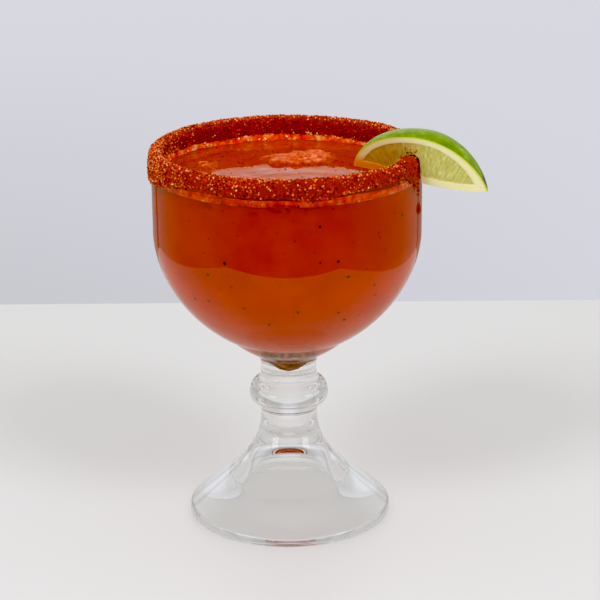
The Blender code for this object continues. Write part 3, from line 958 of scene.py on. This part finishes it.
def lime_finish():
    finish = Finish("lime", Roughness=0.30, IOR=1.28, Subsurface_Weight=0.6,
                    Subsurface_Radius=(1.0, 1.0, 0.35), Subsurface_Scale=1.2 * MM)
    place = finish.place()
    across, up, flesh, depth, peel = [
        finish.add("ShaderNodeAttribute", {"attribute_name": name}).of("Fac")
        for name in LIME_FACTS]
    line = finish.add("ShaderNodeCombineXYZ", None, across / 0.75, up / 4.5, 0.0)
    sacs = finish.noise(1.0, 3.0, 0.6, at=line)
    fine = finish.noise(1.0, 2.0, 0.6,
                        at=finish.add("ShaderNodeCombineXYZ", None, across / 0.3, up / 3.0, 4.0))
    juicy = finish.ramp(sacs * 0.55 + fine * 0.45, (0.30, (0.46, 0.46, 0.12)),
                        (0.50, (0.62, 0.60, 0.20)), (0.70, (0.88, 0.84, 0.46)))
    xyz = finish.xyz()
    towards_rim = finish.between((xyz.of("X") - AXIS_X) / MM, 40.0, 60.0)
    # The flesh that hangs inside the glass is darker and browner: partly a stain of the drink,
    # partly painted shade and painted orange light from the drink.
    juicy = finish.mix(towards_rim, juicy * (0.88, 0.60, 0.55), juicy)
    pith = finish.mix(finish.noise(600.0, 3.0, at=place), (0.84, 0.82, 0.44), (0.90, 0.87, 0.58))
    pith = finish.mix(finish.between(depth, 0.2, 1.3), (0.58, 0.68, 0.12), pith)
    stained = finish.between(xyz.of("Z") / MM * -1.0, -163.0, -157.0) * (1.0 - towards_rim)
    pith = finish.mix(stained, pith, (0.85, 0.30, 0.03))
    cut = finish.mix(flesh, pith, juicy)
    skin = finish.ramp(finish.noise(330.0, 4.0, 0.65, at=place), (0.28, (0.09, 0.18, 0.004)),
                       (0.50, (0.14, 0.25, 0.006)), (0.68, (0.23, 0.35, 0.015)),
                       (0.80, (0.46, 0.54, 0.10)))
    scar = finish.between((xyz.of("X") - AXIS_X) / MM, *STEM_SCAR)
    skin = finish.mix(scar, skin, (0.07, 0.075, 0.03))
    finish.set(Base_Color=finish.mix(finish.between(peel, 0.1, 0.9), cut, skin))
    pores = finish.add("ShaderNodeTexVoronoi", None, Vector=place, Scale=1100.0)
    relief = finish.between(pores, 0.0, 0.5) * peel * 0.5 + sacs * flesh
    finish.bump(relief, 0.15 * MM, 0.6)
    return finish


def make_lime():
    mesh_edit = lime_shape()
    mesh_edit.transform(
        Matrix.Translation(AXIS) @ Matrix.Rotation(LIME_AZIMUTH, 4, "Z")
        @ Matrix.Translation((LIME_FROM_AXIS * MM, 0.0, LIME_CORE_HEIGHT * MM))
        @ Matrix.Rotation(LIME_TILT, 4, "Y") @ Matrix.Scale(MM, 4))
    lime = put("cut_lime", made_mesh("lime_wedge_cut", mesh_edit))
    lime.data.materials.append(lime_finish().material)
    slit = lime.modifiers.new("slit", "BOOLEAN")
    slit.operation = "DIFFERENCE"
    slit.object = slit_cutter()
    settle(lime)
    lime.data.shade_smooth()
    lime.data.set_sharp_from_angle(angle=math.radians(40.0))
    return lime


lime = make_lime()
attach(lime, "root")
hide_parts("lime_wedge")


# The crumbs on the lime
# A few flakes of the crust that stuck to the face of the lime when it was pushed on the rim.
# They lie just above where the crust is piled up against it.

CRUMBS_SIDEWAYS = 50.5
CRUMBS_HEIGHT = 165.6
FRONT_FACE_AZIMUTH = -18.5


def near_the_pile(point):
    """1 on a small patch of the front face of the lime, else 0.

    The patch ends above the slit's roof.  The Boolean lists the faces there in another order each
    run, and the scattering draws by that order, so that crumbs there would come and go.
    """
    azimuth = math.degrees(math.atan2(point.y, point.x - AXIS_X))
    sideways = abs((point.x - AXIS_X) / MM - CRUMBS_SIDEWAYS)
    upwards = abs(point.z / MM - CRUMBS_HEIGHT)
    return 1.0 if azimuth < FRONT_FACE_AZIMUTH and sideways < 3.0 and upwards < 1.7 else 0.0


crumbs = scatter(
    "chilli_crumbs", lime.data, near_the_pile, flakes,
    grain_finish("fallen_chilli", (0.15, (0.10, 0.005, 0.004)), (0.5, (0.26, 0.012, 0.006)),
                 (0.85, (0.45, 0.05, 0.015)), Roughness=0.4, IOR=1.3),
    spacing=0.9, per_area=0.45, sizes=(0.7, 1.4), sunk=0.0, seed=71)
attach(crumbs, "root")


# The drop of sauce
# A thick dark drop that has run down from the crust under the lime.  It clings to the outside of
# the glass, narrow where it ran and round where it stopped.

DROP_AZIMUTH = math.radians(-16.6)
DROP_TOP = 142.9
DROP_BOTTOM = 137.2


def make_drop():
    mesh_edit = bmesh.new()
    bmesh.ops.create_uvsphere(mesh_edit, u_segments=32, v_segments=28, radius=1.0)
    for point in mesh_edit.verts:
        low = 0.5 - point.co.z / 2
        width = 0.45 + 0.75 * math.sin(math.pi * clamped(low * 0.85)) ** 2
        width *= 1 + 0.5 * noise.noise(Vector((0.0, 1.5 * point.co.y, 2.6 * point.co.z)))
        out = 0.85 * width * point.co.x * (0.85 if point.co.x > 0 else 0.35)
        height = DROP_BOTTOM + (DROP_TOP - DROP_BOTTOM) * (point.co.z + 1) / 2
        local = Vector((BOWL_RADIUS + 0.28 + out, 1.1 * width * point.co.y, height))
        point.co = Matrix.Rotation(DROP_AZIMUTH, 3, "Z") @ local * MM + AXIS
    mesh = made_mesh("sauce_drop_wet", mesh_edit)
    mesh.shade_smooth()
    finish = Finish("wet_sauce", Roughness=0.08, IOR=1.38, Subsurface_Weight=0.7,
                    Subsurface_Radius=(1.0, 0.2, 0.1), Subsurface_Scale=0.8 * MM)
    finish.set(Base_Color=finish.mix(finish.noise(900.0, 2.0), (0.12, 0.004, 0.003),
                                     (0.30, 0.012, 0.008)))
    mesh.materials.append(finish.material)
    return put("wet_sauce_drop", mesh)


drop = make_drop()
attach(drop, "root")
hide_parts("sauce_drop")


# The floor, the light and the camera
# A plain pale board lies under the glass, before the room's pale wall.  The room is light at
# both sides and dark round the camera, which is what the glass and the drink mirror.  Two soft
# lamps stand in front, to the left and the right, above the rim.

BOARD_X = (-292 * MM, 246 * MM)
BOARD_Y = (-262 * MM, 285 * MM)
AIR_UNDER_GLASS = 0.05 * MM
BOARD_COLOUR = (0.67, 0.67, 0.675)
WALL_COLOUR = (0.683, 0.690, 0.760)
LIGHT_FROM_ALL_ROUND = 0.77
SEEN_THROUGH_GLASS = (0.55, 0.55, 0.57)
CEILING_COLOUR = (0.45, 0.46, 0.48)
SHEEN_COLOUR = (0.64, 0.56, 0.50)
WINDOW_COLOUR = (3.5, 3.5, 3.6)
WINDOW_BEARINGS = (-50.0, 60.0)
# How light the room is, by bearing in degrees: 0 is behind the camera, and right is positive.
LIGHT_AROUND = (
    (-168, 0.38), (-148, 0.38), (-146, 0.08), (-144, 0.08), (-142, 0.42), (-115, 0.42),
    (-100, 0.30), (-65, 0.27), (-38, 0.05), (46, 0.05), (65, 0.28), (90, 0.36), (115, 0.46),
    (145, 0.42), (148, 0.10), (151, 0.31), (168, 0.31),
)
BEHIND_GLASS = 175
CAMERA_PLACE = (5.11 * MM, -840.8 * MM, 372.7 * MM)
CAMERA_LENS = 124.8
CAMERA_PITCH = 18.26
CAMERA_ROLL = -0.45


def make_board():
    """The pale board that everything stands on, over a near-black one that paints the shade at its
    edge.
    """
    thickness, overhang = 5 * MM, 3 * MM
    for name, colour, low, high, grow in (
            ("floor", BOARD_COLOUR, -thickness, -AIR_UNDER_GLASS, 0.0),
            # Painted shade: a near-black board under the floor, a little wider, that stands for
            # the shadow gap round its edge.
            ("floor_edge", (0.02, 0.02, 0.02), -2 * thickness, -thickness, overhang)):
        mesh_edit = bmesh.new()
        bmesh.ops.create_cube(mesh_edit, size=1.0)
        for point in mesh_edit.verts:
            right, back, up = (value > 0 for value in point.co)
            point.co = (AXIS_X + (BOARD_X[1] + grow if right else BOARD_X[0] - grow),
                        BOARD_Y[1] if back else BOARD_Y[0] - grow, high if up else low)
        board = put(name, made_mesh(name, mesh_edit))
        board.data.materials.append(
            Finish(name, Base_Color=colour, Roughness=0.45, IOR=1.45).material)


def make_room():
    """A pale background for the camera, and the room for what mirrors or bends light."""
    world = bpy.data.worlds.new("room")
    bpy.context.scene.world = world
    world.use_nodes = True
    nodes = Nodes(world.node_tree)
    ways = nodes.add("ShaderNodeLightPath")
    towards = nodes.add("ShaderNodeSeparateXYZ", None,
                        nodes.add("ShaderNodeTexCoord").of("Generated"))
    up, down = towards.of("Z"), towards.of("Z") * -1.0

    # The camera sees the wall, a little darker low down, most at the left.
    low = nodes.between(down, 0.18, 0.31, "LINEAR")
    shade = 1.0 - (0.095 - towards.of("X") * 0.385) * low
    wall = nodes.add("ShaderNodeCombineXYZ", None, *WALL_COLOUR) * shade
    plain = nodes.mix(ways.of("Is Camera Ray"), (LIGHT_FROM_ALL_ROUND,) * 3, wall)

    # Mirrored and bent rays see the room, brighter above the board and plainer where bent.
    azimuth = towards.maths("ARCTAN2", towards.of("X"), towards.of("Y") * -1.0) / math.tau + 0.5
    around = [(bearing, (light,) * 3) for bearing, light in LIGHT_AROUND]
    around = [(-BEHIND_GLASS, WALL_COLOUR), *around, (BEHIND_GLASS, WALL_COLOUR)]
    mirrored = nodes.ramp(azimuth, *[(0.5 + bearing / 360, light) for bearing, light in around])
    bends = ways.maths("GREATER_THAN", ways.of("Glossy Depth"), 1.5)
    bends = ways.maths("MAXIMUM", bends, ways.of("Is Transmission Ray"))
    mirrors = 1.0 - bends
    room = nodes.mix(bends * 0.6, mirrored, SEEN_THROUGH_GLASS)
    lift = 1.0 + nodes.between(up, 0.03, 0.12) * (1.4 - bends * 1.15)
    room = room * nodes.add("ShaderNodeCombineXYZ", None, lift, lift, lift)
    room = nodes.mix(nodes.between(up, 0.40, 0.75), room, CEILING_COLOUR)

    # The top of the drink mirrors a pale patch over the far rim, and the glass two windows.
    sheen = (nodes.between(up, 0.20, 0.28) * nodes.between(down, -0.46, -0.42)
             * nodes.between(towards.of("Y"), 0.86, 0.90) * mirrors)
    room = nodes.mix(sheen, room, SHEEN_COLOUR)
    for bearing in WINDOW_BEARINGS:
        aside = azimuth * 360.0 - 180.0 - bearing
        aside = aside.maths("ABSOLUTE", aside)
        window = (nodes.between(aside * -1.0, -12.0, -10.0) * nodes.between(up, 0.08, 0.12)
                  * nodes.between(down, -0.42, -0.36) * mirrors)
        room = nodes.mix(window, room, WINDOW_COLOUR)

    indirect = ways.maths("MAXIMUM", ways.of("Is Glossy Ray"), ways.of("Is Transmission Ray"))
    colour = nodes.mix(indirect, plain, room)
    nodes.tree.links.new(colour.socket, nodes.tree.nodes["Background"].inputs["Color"])


def make_lamp(name, azimuth, elevation, distance, size, watts):
    """A soft square lamp that faces the glass; azimuth is from the camera's side."""
    light = bpy.data.lights.new(name, "AREA")
    light.energy, light.size = watts, size
    lamp = put(name, light)
    bearing, lift = math.radians(azimuth), math.radians(elevation)
    towards = Vector((math.sin(bearing) * math.cos(lift),
                      -math.cos(bearing) * math.cos(lift), math.sin(lift)))
    lamp.location = Vector((AXIS_X, 0.0, 100 * MM)) + towards * distance
    lamp.rotation_euler = towards.to_track_quat("Z", "Y").to_euler()
    lamp.visible_camera = False
    lamp.visible_glossy = lamp.visible_transmission = False


def make_camera():
    """The camera, 0.84 m in front of the glass and 0.21 m above its rim."""
    data = bpy.data.cameras.new("camera")
    data.lens, data.sensor_width = CAMERA_LENS, 36.0
    camera = put("camera", data)
    camera.matrix_world = (Matrix.Translation(AXIS + Vector(CAMERA_PLACE))
                           @ Matrix.Rotation(math.radians(90 - CAMERA_PITCH), 4, "X")
                           @ Matrix.Rotation(math.radians(CAMERA_ROLL), 4, "Z"))
    bpy.context.scene.camera = camera


make_board()
make_room()
make_lamp("left_lamp", -42, 45, 1.6, 0.48, 8.4)
make_lamp("right_lamp", 42, 45, 1.6, 0.48, 8.1)
make_camera()
# The darkest greens and blues go to black, which keeps the reds as deep as in the photograph.
view = bpy.context.scene.view_settings
view.view_transform = "Standard"
view.use_curve_mapping = True
view.curve_mapping.black_level = (0.0, 0.011, 0.048)
view.curve_mapping.update()
